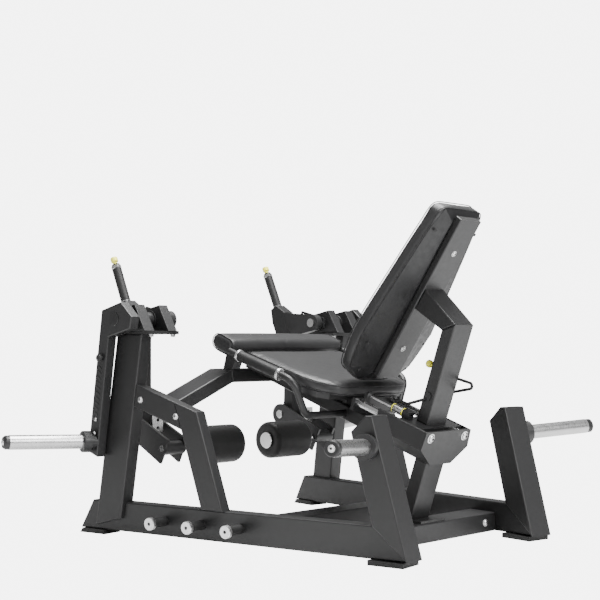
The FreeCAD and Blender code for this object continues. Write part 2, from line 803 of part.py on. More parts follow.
# ----------------------------------------------------------------- roller arms
def make_roller_arm(side, name):
    """Hub and web on the shaft, and the tube that hangs in front of the knee."""
    label = "roller_arm_" + name
    body = new_body(label, centre_placement())
    tube_x = "%d * arm_tube_x" % side
    web_x = "%d * arm_web_x" % side
    sketch = plane_sketch(body, "YZ_Plane", tube_x)
    add_polygon(sketch, outline("arm_tube"))
    pad = add_pad(body, sketch, "arm_tube_width", both_ways=True)
    round_edges(body, pad, lambda edge: lies_flat(edge, 0) and edge.Length > 30, "3")
    lug = plane_sketch(body, "YZ_Plane", tube_x)
    add_circle(lug, "-lug_f", "lug_z", "lug_radius")
    add_pad(body, lug, "arm_tube_width", both_ways=True)
    web = plane_sketch(body, "YZ_Plane", web_x)
    add_polygon(web, outline("arm_web"))
    add_pad(body, web, "arm_web_width", both_ways=True)
    hub = plane_sketch(body, "YZ_Plane", web_x)
    add_circle(hub, "-pivot_f", "pivot_z", "arm_hub_radius")
    add_pad(body, hub, "arm_web_width", both_ways=True)
    bore = plane_sketch(body, "YZ_Plane", tube_x)
    add_circle(bore, "-pivot_f", "pivot_z", "pivot_radius + running_gap")
    add_circle(bore, "-lug_f", "lug_z", "lug_pin_radius + running_gap")
    add_bore(body, bore)
    finish(body, label)


def make_roller_fork(side, name):
    """Two cheeks on the lug pin, joined by the tube that holds the roller's shaft."""
    label = "roller_fork_" + name
    body = new_body(label, centre_placement())
    middle = "%d * (fork_inner_x + fork_outer_x) / 2" % side
    tube = plane_sketch(body, "YZ_Plane", middle)
    add_circle(tube, "-roller_f", "roller_z", "fork_tube_radius")
    add_pad(body, tube, "fork_outer_x - fork_inner_x + fork_cheek_width", both_ways=True)
    for where in ("fork_inner_x", "fork_outer_x"):
        across = "%d * %s" % (side, where)
        cheek = plane_sketch(body, "YZ_Plane", across)
        add_polygon(cheek, outline("fork_cheek"))
        add_pad(body, cheek, "fork_cheek_width", both_ways=True)
        lug = plane_sketch(body, "YZ_Plane", across)
        add_circle(lug, "-lug_f", "lug_z", "lug_radius + 1")
        add_pad(body, lug, "fork_cheek_width", both_ways=True)
    bore = plane_sketch(body, "YZ_Plane", middle)
    add_circle(bore, "-roller_f", "roller_z", "roller_shaft_radius")
    add_circle(bore, "-lug_f", "lug_z", "lug_pin_radius")
    add_bore(body, bore)
    finish(body, label)


def make_roller_shaft(side, name):
    """Roller shaft with its end disc and thrust collar, and the fork's lug pin."""
    out = X_AXIS * side
    start = at(side * (value("roller_inner_x") - value("end_disc_length") - 0.5),
               value("roller_f"), value("roller_z"))
    collar_start = "roller_length + end_disc_length + 1"
    end = "fork_outer_x - roller_inner_x + 12"
    shaft = turned("shaft_" + name, pointing(start, out),
                   [("0", "0"), ("end_disc_radius - 2", "0"), ("end_disc_radius", "2"),
                    ("end_disc_radius", "end_disc_length"),
                    ("roller_shaft_radius", "end_disc_length"),
                    ("roller_shaft_radius", collar_start),
                    ("shaft_collar_radius", collar_start),
                    ("shaft_collar_radius", collar_start + " + shaft_collar_length"),
                    ("roller_shaft_radius", collar_start + " + shaft_collar_length"),
                    ("roller_shaft_radius", end), ("0", end)])
    pin_start = at(side * (value("fork_inner_x") - value("fork_cheek_width") / 2 - 6),
                   value("lug_f"), value("lug_z"))
    length = "fork_outer_x - fork_inner_x + fork_cheek_width + 12"
    pin = turned("lug_pin_" + name, pointing(pin_start, out),
                 [("0", "0"), ("lug_pin_radius", "0"), ("lug_pin_radius + 2", "2"),
                  ("lug_pin_radius + 2", "6"), ("lug_pin_radius", "6"),
                  ("lug_pin_radius", length + " - 6"), ("lug_pin_radius + 2", length + " - 6"),
                  ("lug_pin_radius + 2", length + " - 2"), ("lug_pin_radius", length),
                  ("0", length)])
    group("roller_shaft_" + name, [shaft, pin])


def make_foot_roller(side, name):
    """Foam roller with rounded rims, turning on its shaft."""
    label = "foot_roller_" + name
    start = at(side * value("roller_inner_x"), value("roller_f"), value("roller_z"))
    bore = "roller_shaft_radius + running_gap"
    body = turned(label, pointing(start, X_AXIS * side),
                  [(bore, "0"), ("roller_radius", "0"), ("roller_radius", "roller_length"),
                   (bore, "roller_length")])
    rim = [edge for edge in body.Shape.Edges
           if abs(edge.BoundBox.ZLength - 2 * value("roller_radius")) < 1]
    if len(rim) < 2:
        raise RuntimeError("the roller has no rims to round")
    round_edges(body, body.Tip,
                lambda edge: edge.Curve.TypeId == "Part::GeomCircle"
                and edge.Curve.Radius > value("roller_radius") - 1, "roller_round")
    finish(body, label)


def make_start_handle(side, name):
    """Leaning grip tube on the roller arm, hollow at the top for its button."""
    lean = math.radians(value("handle_lean"))
    direction = FreeCAD.Vector(0, -math.sin(lean), math.cos(lean))
    base = at(side * value("handle_x"), value("handle_f"), value("handle_z"))
    label = "start_handle_" + name
    bore = "button_radius + button_gap"
    tube = turned("handle_blank_" + name, pointing(base, direction),
                  [("0", "0"), ("handle_collar_radius", "0"),
                   ("handle_collar_radius", "handle_collar_length"),
                   ("handle_radius", "handle_collar_length"),
                   ("handle_radius", "handle_length - handle_collar_length"),
                   ("handle_collar_radius - 2", "handle_length - handle_collar_length"),
                   ("handle_collar_radius - 2", "handle_length"), (bore, "handle_length"),
                   (bore, "handle_length - button_bore_depth"),
                   ("0", "handle_length - button_bore_depth")])
    finish(trimmed(label, tube, "roller_arm_" + name), label)
    button_base = base + direction * (value("handle_length") + value("button_proud")
                                      - value("button_length"))
    button_label = "start_button_" + name
    finish(turned(button_label, pointing(button_base, direction),
                  [("0", "0"), ("button_radius", "0"), ("button_radius", "button_length - 4"),
                   ("button_radius - 3", "button_length"), ("0", "button_length")]), button_label)


# --------------------------------------------------------------- storage horns
def make_storage_horns():
    """Two horns on the rear posts for spare plates."""
    flanges = []
    sleeves = []
    caps = []
    for side, name in SIDES:
        direction = horn_direction(side, -value("storage_turn"), value("storage_rise"))
        root = at(side * value("storage_x"), value("storage_f"), value("storage_z"))
        base = root - direction * value("storage_flange_length")
        flange = rod("flange_" + name, pointing(base, direction), "storage_flange_radius",
                     "storage_flange_length")
        flanges.append(trimmed("trimmed_flange_" + name, flange, "rear_post_" + name))
        sleeves.append(rod("storage_sleeve_" + name, pointing(root, direction),
                           "sleeve_radius", "storage_sleeve_length"))
        end = root + direction * value("storage_sleeve_length")
        caps.append(turned("storage_cap_" + name, pointing(end, direction),
                           [("0", "0"), ("storage_cap_radius", "0"),
                            ("storage_cap_radius", "storage_cap_length - 3"),
                            ("storage_cap_radius - 3", "storage_cap_length"),
                            ("0", "storage_cap_length")]))
    group("storage_flanges", flanges)
    group("storage_sleeves", sleeves)
    group("storage_caps", caps)


# ------------------------------------------------------------- backrest slide
def make_guide_housing():
    """Six-sided housing with an open trough on top and a closed rear end."""
    label = "guide_housing"
    body = new_body(label, slide_placement())
    sketch = plane_sketch(body, "XZ_Plane", "-end_plate_thickness")
    add_polygon(sketch, half_outline("housing"))
    pad = add_pad(body, sketch, "housing_length + end_plate_thickness")
    round_edges(body, pad, lambda edge: runs_along(edge, 1), "tube_corner")
    trough = plane_sketch(body, "XZ_Plane", "0")
    half_width = "trough_width / 2"
    add_polygon(trough, [(half_width, "trough_floor"), (half_width, "40"),
                         ("-" + half_width, "40"), ("-" + half_width, "trough_floor")])
    before = body.Shape.Volume
    pocket = body.newObject("PartDesign::Pocket", "Trough")
    pocket.Profile = trough
    pocket.Reversed = True
    bind(pocket, "Length", "housing_length")
    doc.recompute()
    if body.Shape.Volume >= before:
        raise RuntimeError("the trough cuts nothing")
    finish(body, label)


def slide_rod(name, across, height, start, end, radius):
    """Rod along the slide, from its place across, its height v and its two ends."""
    base = FreeCAD.Vector(value(across), -value(start), value(height))
    placement = slide_placement().multiply(pointing(base, FreeCAD.Vector(0, -1, 0)))
    return rod(name, placement, radius, "%s - (%s)" % (end, start))


def make_guide_rods():
    """Two rods that the carriage runs on, and the thinner rod its lock grips."""
    members = [slide_rod("guide_rod_" + name, "%d * rod_x" % side, "0", "0", "rod_length",
                         "rod_radius") for side, name in SIDES]
    members.append(slide_rod("lock_rod", "lock_x", "lock_v", "lock_rod_start", "lock_rod_end",
                             "lock_rod_radius"))
    group("guide_rods", members)


def make_rod_brackets():
    """Cross plate that holds the guide rods' front ends, and the tab for the lock rod."""
    plate = new_body("rod_bracket", slide_placement())
    sketch = plane_sketch(plate, "XZ_Plane", "bracket_start")
    add_polygon(sketch, half_outline("rod_bracket"))
    add_pad(plate, sketch, "bracket_thickness")
    foot = new_body("lock_foot", slide_placement())
    sketch = plane_sketch(foot, "XZ_Plane", "lock_rod_end")
    add_polygon(sketch, [("rod_x - 12", "6"), ("rod_x + 12", "6"),
                         ("lock_x + 16", "lock_v + 6"), ("lock_x + 8", "lock_v + 14"),
                         ("lock_x - 8", "lock_v + 14"), ("lock_x - 16", "lock_v + 6")])
    add_pad(foot, sketch, "lock_tab_thickness")
    group("rod_brackets", [plate, trimmed("lock_tab", foot, "guide_rods")])


def make_carriage():
    """Plate and two bushings that run on the guide rods."""
    label = "carriage"
    body = new_body(label, slide_placement())
    plate = plane_sketch(body, "XZ_Plane", "carriage_start")
    half_width = "rod_x + bushing_radius - 2"
    add_polygon(plate, [(half_width, "6"), (half_width, "20"), ("-(%s)" % half_width, "20"),
                        ("-(%s)" % half_width, "6")])
    add_pad(body, plate, "carriage_length")
    for side, name in SIDES:
        bushing = plane_sketch(body, "XZ_Plane", "carriage_start")
        add_circle(bushing, "%d * rod_x" % side, "0", "bushing_radius")
        add_pad(body, bushing, "carriage_length")
    bores = plane_sketch(body, "XZ_Plane", "carriage_start")
    for side, name in SIDES:
        add_circle(bores, "%d * rod_x" % side, "0", "rod_radius + running_gap")
    add_bore(body, bores)
    finish(body, label)


def make_slide_lock():
    """Friction lock on the carriage that grips the lock rod."""
    label = "slide_lock"
    body = new_body(label, slide_placement())
    block = plane_sketch(body, "XZ_Plane", "lock_block_start")
    add_polygon(block, [("lock_x - 12", "20"), ("lock_x + 14", "20"),
                        ("lock_x + 14", "lock_v + 12"), ("lock_x - 12", "lock_v + 12")])
    add_pad(body, block, "lock_block_length")
    cylinder = plane_sketch(body, "XZ_Plane", "lock_block_start + lock_block_length")
    add_circle(cylinder, "lock_x", "lock_v", "lock_body_radius")
    add_pad(body, cylinder, "lock_body_length")
    bore = plane_sketch(body, "XZ_Plane", "lock_block_start")
    add_circle(bore, "lock_x", "lock_v", "lock_rod_radius + running_gap")
    add_bore(body, bore)
    finish(body, label)


# ------------------------------------------------------------------- backrest
def make_backrest_frame():
    """Post on the carriage and the arm up to the backrest's channel."""
    post = prism("back_post", slide_placement(), outline("back_post"), "0", "back_post_width")
    bore = plane_sketch(post, "YZ_Plane", "0")
    add_circle(bore, "-release_u", "release_v", "release_pin_radius + running_gap")
    add_bore(post, bore)
    socket = plane_sketch(post, "XZ_Plane", "back_post_along_1")
    add_circle(socket, "knob_x", "knob_v", "knob_stem_radius + running_gap")
    before = post.Shape.Volume
    pocket = post.newObject("PartDesign::Pocket", "Socket")
    pocket.Profile = socket
    bind(pocket, "Length", "knob_bore_depth")
    doc.recompute()
    if post.Shape.Volume >= before:
        raise RuntimeError("the knob's socket cuts nothing")
    arm = prism("back_arm", centre_placement(), outline("back_arm"), "0", "back_post_width")
    group("backrest_frame", [post, arm])


def make_backrest():
    """Channel, rear shell and padded front of the backrest."""
    finish(prism("backrest_channel", back_placement(), outline("channel"), "0", "channel_width",
                 "4"), "backrest_channel")
    shell = new_body("backrest_shell", back_placement())
    spine = plane_sketch(shell, "XZ_Plane", "shell_rear")
    add_polygon(spine, half_outline("shell_spine"))
    rim = plane_sketch(shell, "XZ_Plane", "shell_front")
    add_polygon(rim, half_outline("shell_rim"))
    loft = shell.newObject("PartDesign::AdditiveLoft", "Loft")
    loft.Profile = spine
    loft.Sections = [rim]
    loft.Ruled = True
    doc.recompute()
    finish(shell, "backrest_shell")
    pad = new_body("backrest_pad", back_placement())
    face = plane_sketch(pad, "XZ_Plane", "shell_front")
    add_polygon(face, half_outline("back_pad"))
    block = add_pad(pad, face, "back_pad_front - shell_front")
    round_edges(pad, block, lambda edge: runs_along(edge, 1), "pad_corner")
    finish(pad, "backrest_pad")


def make_release_handle():
    """Pin through the post with a plate at each end, a grip loop and a lock lever."""
    pin = across_rod("release_pin", RIGHT, "-back_post_width / 2 - 1", "back_post_width / 2 + 1",
                     "release_f", "release_z", "release_pin_radius")
    plates = []
    for side, name in SIDES:
        plates.append(across_rod("release_plate_" + name, side, "back_post_width / 2 + 0.5",
                                 "back_post_width / 2 + 0.5 + release_plate_thickness",
                                 "release_f", "release_z", "release_plate_radius"))
    tall = prism("release_link", centre_placement(),
                 [("-(release_f - 7)", "release_z - 4"), ("-(release_f + 7)", "release_z + 4"),
                  ("-(release_f - 18)", "release_z + 68"), ("-(release_f - 30)", "release_z + 62")],
                 "-(back_post_width / 2 + 0.5 + release_plate_thickness / 2)",
                 "release_plate_thickness", rounding=None)
    radius = value("release_rod_radius")
    bend = value("release_bend")
    loop = bent_tube("release_loop", RELEASE_LOOP, radius, [bend, bend])
    lever = bent_tube("release_lever", RELEASE_LEVER, radius, [bend])
    fused = doc.addObject("Part::MultiFuse", "release_handle")
    fused.Shapes = [pin, tall, loop, lever] + plates
    finish(fused, "release_handle")


def make_pull_knob():
    """Sprung pull knob whose stem slides in the post."""
    face = FreeCAD.Vector(value("knob_x"), -value("back_post_along_1"), value("knob_v"))
    placement = slide_placement().multiply(pointing(face, FreeCAD.Vector(0, -1, 0)))
    label = "pull_knob"
    finish(turned(label, placement,
                  [("0", "4 - knob_bore_depth"), ("knob_stem_radius", "4 - knob_bore_depth"),
                   ("knob_stem_radius", "knob_gap"), ("knob_collar_radius", "knob_gap"),
                   ("knob_collar_radius", "10"),
                   ("knob_stem_radius", "12"), ("knob_stem_radius", "26"),
                   ("knob_radius - 3", "28"), ("knob_radius", "34"), ("knob_radius", "42"),
                   ("knob_radius - 4", "47"), ("0", "48")]), label)


# ------------------------------------------------------------------------ pads
def make_seat():
    """Tilted seat cushion on its moulded base."""
    pad = new_body("seat_pad", seat_placement())
    top = plane_sketch(pad, "XY_Plane", "-seat_thickness")
    add_polygon(top, half_outline("seat", turned=True))
    block = add_pad(pad, top, "seat_thickness")
    round_edges(pad, block, lambda edge: runs_along(edge, 2), "12")
    finish(pad, "seat_pad")
    base = new_body("seat_base", seat_placement())
    sketch = plane_sketch(base, "XY_Plane", "-seat_thickness - seat_base_thickness")
    add_polygon(sketch, half_outline("seat_base", turned=True))
    add_pad(base, sketch, "seat_base_thickness")
    return base


def make_front_pad():
    """Thigh pad across the front edge of the seat."""
    pad = prism("front_pad", centre_placement(), outline("front_pad"), "0", "front_pad_width",
                rounding="8")
    finish(pad, "front_pad")


def make_pad_brackets(seat_base):
    members = [seat_base]
    for side, name in SIDES:
        members.append(prism("pad_bracket_" + name, centre_placement(), outline("pad_bracket"),
                             "%d * pad_bracket_x" % side, "pad_bracket_width", rounding=None))
    members.append(prism("seat_riser", centre_placement(), outline("seat_riser"), "0",
                         "seat_riser_width", rounding=None))
    group("pad_brackets", members)


# ---------------------------------------------------------------- seat handles
def make_seat_handles():
    """Bent hand rails beside the seat, with rubber grips between two collars."""
    tubes = []
    grips = []
    collars = []
    radius = value("seat_handle_radius")
    bends = [value("seat_handle_upper_bend"), value("seat_handle_lower_bend")]
    for side, name in SIDES:
        path = [(side * x, forward, up) for x, forward, up in SEAT_HANDLE_PATH]
        tubes.append(bent_tube("seat_handle_" + name, path, radius, bends))
        front, rear = [at(side * x, forward, up) for x, forward, up in SEAT_GRIP_ENDS]
        direction = (rear - front).normalize()
        length = (rear - front).Length
        grips.append(sleeve("seat_grip_" + name, front, direction, "%.3f" % length,
                            "seat_grip_radius"))
        starts = (front - direction * value("seat_collar_length"), rear)
        for number, start in enumerate(starts):
            collars.append(sleeve("seat_collar_%s_%d" % (name, number), start, direction,
                                  "seat_collar_length", "seat_collar_radius"))
    group("seat_handles", tubes)
    group("seat_handle_grips", grips)
    group("seat_handle_collars", collars)


def sleeve(name, start, direction, length, radius):
    """Hollow sleeve that fits the seat handle's tube."""
    bore = "seat_handle_radius + running_gap"
    return turned(name, pointing(start, direction),
                  [(bore, "0"), (radius + " - 1.5", "0"), (radius, "1.5"),
                   (radius, length + " - 1.5"), (radius + " - 1.5", length), (bore, length)])


# ----------------------------------------------------------------------- bolts
def make_bolts():
    """Bolt heads on the braces, the rear crossbeam and the slide housing's end."""
    members = []
    for side, name in SIDES:
        placement = side_placement(side)
        outer = side * (value("brace_q") + value("brace_width") / 2)
        for number, (along, up) in enumerate(BRACE_BOLTS):
            head = FreeCAD.Vector(outer, -along, up)
            members.append(rod("brace_bolt_%s_%d" % (name, number),
                               placement.multiply(pointing(head, X_AXIS * side)),
                               "bolt_radius", "bolt_length"))
        across, forward, up = BEAM_BOLT
        members.append(rod("beam_bolt_" + name, pointing(at(side * across, forward, up), Y_AXIS),
                           "bolt_radius", "bolt_length"))
        members.append(slide_rod("end_bolt_" + name, "%d * rod_x" % side, "0",
                                 "-end_plate_thickness - bolt_length", "-end_plate_thickness",
                                 "end_bolt_radius"))
    group("frame_bolts", members)


def build():
    for side, name in SIDES:
        make_side_frame(side, name)
    make_foot_pads()
    make_band_pegs()
    make_crossbeams()
    make_centre_post()
    make_cross_arch()
    make_seat_beam()
    make_pivot_plates()
    make_bearing_blocks()
    for side, name in SIDES:
        make_pivot_shaft(side, name)
        make_weight_arm(side, name)
        make_weight_horn(side, name)
        make_sector_plate(side, name)
        make_roller_arm(side, name)
        make_roller_fork(side, name)
        make_roller_shaft(side, name)
        make_foot_roller(side, name)
        make_start_handle(side, name)
    make_storage_horns()
    make_guide_housing()
    make_guide_rods()
    make_rod_brackets()
    make_carriage()
    make_slide_lock()
    make_backrest_frame()
    make_backrest()
    make_release_handle()
    make_pull_knob()
    seat_base = make_seat()
    make_front_pad()
    make_pad_brackets(seat_base)
    make_seat_handles()
    make_bolts()


def check_document():
    """Stop if any object failed or any sub-part has no sound shape."""
    doc.recompute()
    for item in doc.Objects:
        if "Invalid" in item.State or "Error" in item.State:
            raise RuntimeError("%s failed: %s" % (item.Label, item.State))
    for node in nodes:
        if node.Shape.isNull() or not node.Shape.isValid():
            raise RuntimeError("%s has no sound shape" % node.Label)


def export():
    """Write one STEP file for each sub-part."""
    os.makedirs("parts", exist_ok=True)
    whole = FreeCAD.BoundBox()
    for node in nodes:
        node.Shape.exportStep("parts/%s.step" % node.Label)
        whole.add(node.Shape.BoundBox)
    print("%d sub-parts, box %s" % (len(nodes), whole))


build()
check_document()
export()
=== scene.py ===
import bpy
import bmesh
import json
import math
from mathutils import Matrix, Vector


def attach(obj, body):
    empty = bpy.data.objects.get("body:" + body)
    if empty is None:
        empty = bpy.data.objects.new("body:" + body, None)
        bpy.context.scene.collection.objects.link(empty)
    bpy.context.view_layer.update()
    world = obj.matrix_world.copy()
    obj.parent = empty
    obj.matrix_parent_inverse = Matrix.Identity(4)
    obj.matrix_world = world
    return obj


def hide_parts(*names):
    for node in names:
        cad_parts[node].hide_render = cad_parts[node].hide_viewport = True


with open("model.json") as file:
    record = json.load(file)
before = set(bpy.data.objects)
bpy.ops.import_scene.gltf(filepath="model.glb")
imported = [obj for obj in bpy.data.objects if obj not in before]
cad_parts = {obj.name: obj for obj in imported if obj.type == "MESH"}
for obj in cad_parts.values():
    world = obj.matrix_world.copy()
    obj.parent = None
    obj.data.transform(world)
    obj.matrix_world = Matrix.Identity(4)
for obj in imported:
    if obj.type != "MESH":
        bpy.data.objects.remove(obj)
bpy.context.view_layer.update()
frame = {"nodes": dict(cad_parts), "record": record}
nodes = frame["nodes"]

SIDES = ((1, "left"), (-1, "right"))
SHIFT = 0.68769          # y of a point is SHIFT minus its forward distance
SPLAY = math.radians(9.145)
HALF_SPREAD = 0.348      # x of a side frame's middle line at its rear end
SLIDE = math.radians(19.5)
RECLINE = math.radians(34.5)
SEAT_TILT = math.radians(17.0)
HANDLE_LEAN = math.radians(24.0)
PIVOT = (1.090, 0.755)   # forward and up of both pivot shafts
LEVER_FACE = 0.628       # x of a weight lever's outer face
SHELL_REAR = -0.0335     # y of the shell screws in the back frame
LOCK = (0.078, 0.034)    # across and up of the slide lock in the slide frame
COIL_RADIUS = 0.0138     # of the coil round the slide lock
PEG_RECESS = 0.110       # floor of a band peg's recess from its rail's middle line
SPACING = 0.008          # between the points of a cushion's outline
VOXEL = 0.006            # of a cushion's remesh
HELD_BAND = 0.006        # height of a cushion's edge that the cloth solver holds
CLOTH_FRAMES = 14        # frames of cloth solving
BACKDROP = 6.0           # brightness of floor and backdrop where the camera sees them directly
AMBIENT = 0.34           # brightness of the backdrop as light on the object


# ------------------------------------------------------------------ the frames
def at(x, forward, up):
    return Vector((x, SHIFT - forward, up))


def side_frame(side):
    """Matrix of a side frame: X outward on the left, -Y forward along the rail."""
    turn = Matrix.Rotation(side * SPLAY, 4, "Z")
    return Matrix.Translation((side * HALF_SPREAD, SHIFT, 0)) @ turn


def tilted_frame(forward, up, angle):
    return Matrix.Translation(at(0, forward, up)) @ Matrix.Rotation(-angle, 4, "X")


SLIDE_FRAME = tilted_frame(0.142, 0.366, SLIDE)
BACK_FRAME = tilted_frame(0.390, 0.552, RECLINE)
SEAT_FRAME = tilted_frame(0.408, 0.522, SEAT_TILT)
MACHINE = Matrix.Identity(4)


def facing(frame_matrix, spot, direction):
    """Matrix that stands a piece's Z axis on a spot of a frame, along a direction there."""
    turn = Vector(direction).normalized().to_track_quat("Z", "Y").to_matrix().to_4x4()
    return frame_matrix @ Matrix.Translation(spot) @ turn


# ------------------------------------------------------------------- materials
class Look:
    """A Principled material and short ways to wire its texture nodes."""

    def __init__(self, name, **settings):
        self.material = bpy.data.materials.new(name)
        self.material.use_nodes = True
        self.tree = self.material.node_tree
        self.shader = self.tree.nodes["Principled BSDF"]
        for socket, number in settings.items():
            self.shader.inputs[socket.replace("_", " ")].default_value = number
        self.place = self.node("ShaderNodeTexCoord").outputs["Object"]

    def node(self, kind, **settings):
        made = self.tree.nodes.new(kind)
        for name, number in settings.items():
            if name in made.inputs:
                made.inputs[name].default_value = number
            else:
                setattr(made, name, number)
        return made

    def link(self, source, target):
        self.tree.links.new(source, target)

    def noise(self, scale, detail=2.0, stretch=None):
        texture = self.node("ShaderNodeTexNoise", Scale=scale, Detail=detail)
        source = self.place
        if stretch:
            mapping = self.node("ShaderNodeMapping", Scale=stretch)
            self.link(source, mapping.inputs["Vector"])
            source = mapping.outputs["Vector"]
        self.link(source, texture.inputs["Vector"])
        return texture.outputs["Fac"]

    def cells(self, scale, feature="F1"):
        texture = self.node("ShaderNodeTexVoronoi", feature=feature, Scale=scale)
        self.link(self.place, texture.inputs["Vector"])
        return texture.outputs["Distance"]

    def ramp(self, source, low, high, start=0.35, end=0.65):
        """Colours or greys between two values as the source goes from start to end."""
        ramp = self.node("ShaderNodeValToRGB")
        for stop, position, shade in zip(ramp.color_ramp.elements, (start, end), (low, high)):
            stop.position = position
            stop.color = (*shade, 1) if isinstance(shade, tuple) else (shade, shade, shade, 1)
        self.link(source, ramp.inputs["Fac"])
        return ramp.outputs["Color"]

    def colour(self, source):
        self.link(source, self.shader.inputs["Base Color"])

    def roughness(self, source):
        self.link(source, self.shader.inputs["Roughness"])

    def bump(self, source, depth, strength):
        bump = self.node("ShaderNodeBump", Distance=depth, Strength=strength)
        self.link(source, bump.inputs["Height"])
        self.link(bump.outputs["Normal"], self.shader.inputs["Normal"])


def powder_coat(name, dark, light, rough=0.42):
    """Fine textured paint with faint mottling and a painted highlight along its sharp edges."""
    look = Look(name, Specular_IOR_Level=0.5)
    edge = look.node("ShaderNodeNewGeometry").outputs["Pointiness"]
    mottled = look.ramp(look.noise(14.0, 4.0), dark, light)
    # painted highlight: sharp edges (high pointiness) get a lighter colour that stands in for
    # light catching them
    painted_edge_highlight = look.ramp(edge, 0.0, 1.0, 0.52, 0.60)
    mix = look.node("ShaderNodeMix", data_type="RGBA")
    look.link(painted_edge_highlight, mix.inputs[0])
    look.link(mottled, mix.inputs[6])
    # lighter colour of the painted edge highlight
    mix.inputs[7].default_value = tuple(min(1, c * 1.9) for c in light) + (1,)
    look.colour(mix.outputs[2])
    look.roughness(look.ramp(look.noise(60.0, 3.0), rough - 0.02, rough + 0.03))
    look.bump(look.noise(1500.0, 2.0), 0.00010, 0.35)
    return look.material


def bright_metal(name, shade, rough, brushed=None):
    """Plated steel; brushed holds the stretch of its fine scratches."""
    look = Look(name, Metallic=1.0)
    look.colour(look.ramp(look.noise(20.0, 3.0), shade * 0.93, shade))
    scratches = look.noise(90.0, 3.0, brushed or (1, 1, 1))
    look.roughness(look.ramp(scratches, rough * 0.75, rough * 1.35))
    look.bump(scratches, 0.00006, 0.25)
    return look.material


def upholstery(name, dark, light):
    """Vinyl: a grain of small creased cells, with a soft sheen."""
    look = Look(name, Specular_IOR_Level=0.5, Sheen_Weight=0.05, Sheen_Roughness=0.5)
    look.colour(look.ramp(look.noise(9.0, 3.0), dark, light, 0.3, 0.7))
    look.roughness(look.ramp(look.noise(35.0, 3.0), 0.38, 0.44))
    look.bump(look.cells(650.0, "DISTANCE_TO_EDGE"), 0.00025, 0.25)
    return look.material


def moulded(name, dark, light, rough=0.5, grain=900.0):
    """Moulded plastic or rubber with a fine grain."""
    look = Look(name, Specular_IOR_Level=0.45)
    look.colour(look.ramp(look.noise(18.0, 3.0), dark, light))
    look.roughness(look.ramp(look.noise(50.0, 2.0), rough - 0.06, rough + 0.08))
    look.bump(look.cells(grain), 0.0002, 0.3)
    return look.material


def foam_skin(name, dark, light):
    """Closed-cell foam: small pits under a dull skin, with faint dusty patches."""
    look = Look(name, Specular_IOR_Level=0.35, Sheen_Weight=0.08, Sheen_Roughness=0.6)
    look.colour(look.ramp(look.noise(12.0, 4.0), dark, light, 0.3, 0.75))
    look.roughness(look.ramp(look.noise(40.0, 2.0), 0.48, 0.56))
    look.bump(look.cells(1100.0), 0.0002, 0.35)
    return look.material


# this paint carries powder_coat's painted highlight along sharp edges
PAINT = powder_coat("paint_black", (0.0080, 0.0080, 0.0082), (0.0092, 0.0092, 0.0094))
CHROME = bright_metal("chrome", 0.86, 0.16, (1, 1, 6))
SATIN = bright_metal("satin_steel", 0.80, 0.30)
SLEEVE = bright_metal("sleeve_steel", 0.52, 0.30, (12, 1, 1))
VINYL = upholstery("vinyl_black", (0.0160, 0.0160, 0.0165), (0.0185, 0.0185, 0.0190))
PIPING = moulded("piping_black", (0.008, 0.008, 0.0085), (0.012, 0.012, 0.0125), 0.40, 1500.0)
FOAM = foam_skin("foam_black", (0.0075, 0.0075, 0.0075), (0.0100, 0.0100, 0.0100))
RUBBER = moulded("rubber_black", (0.008, 0.008, 0.008), (0.012, 0.012, 0.012), 0.55, 700.0)
PLASTIC = moulded("plastic_black", (0.009, 0.009, 0.0095), (0.013, 0.013, 0.0135), 0.42)
YELLOW = moulded("plastic_yellow", (1.0, 0.93, 0.10), (1.0, 0.97, 0.14), 0.30)
# painted shade: near-black material laid on the floors of bolt recesses, peg bores and fork
# plate holes, where only shade falls
PAINTED_SHADE = moulded("recess_painted_shade", (0.004, 0.004, 0.004), (0.007, 0.007, 0.007), 0.8)

BY_SLOT = {"frame_paint": PAINT, "chrome": CHROME, "satin_steel": SATIN, "vinyl": VINYL,
           "foam": FOAM, "rubber": RUBBER, "black_plastic": PLASTIC, "yellow_plastic": YELLOW}


def dress_frame():
    """Give every CAD node its slot's material."""
    for entry in frame["record"]["subparts"]:
        node = nodes[entry["node"]]
        material = BY_SLOT[entry["material_slot"]]
        if "sleeve" in entry["node"]:
            material = SLEEVE
        node.data.materials.clear()
        node.data.materials.append(material)


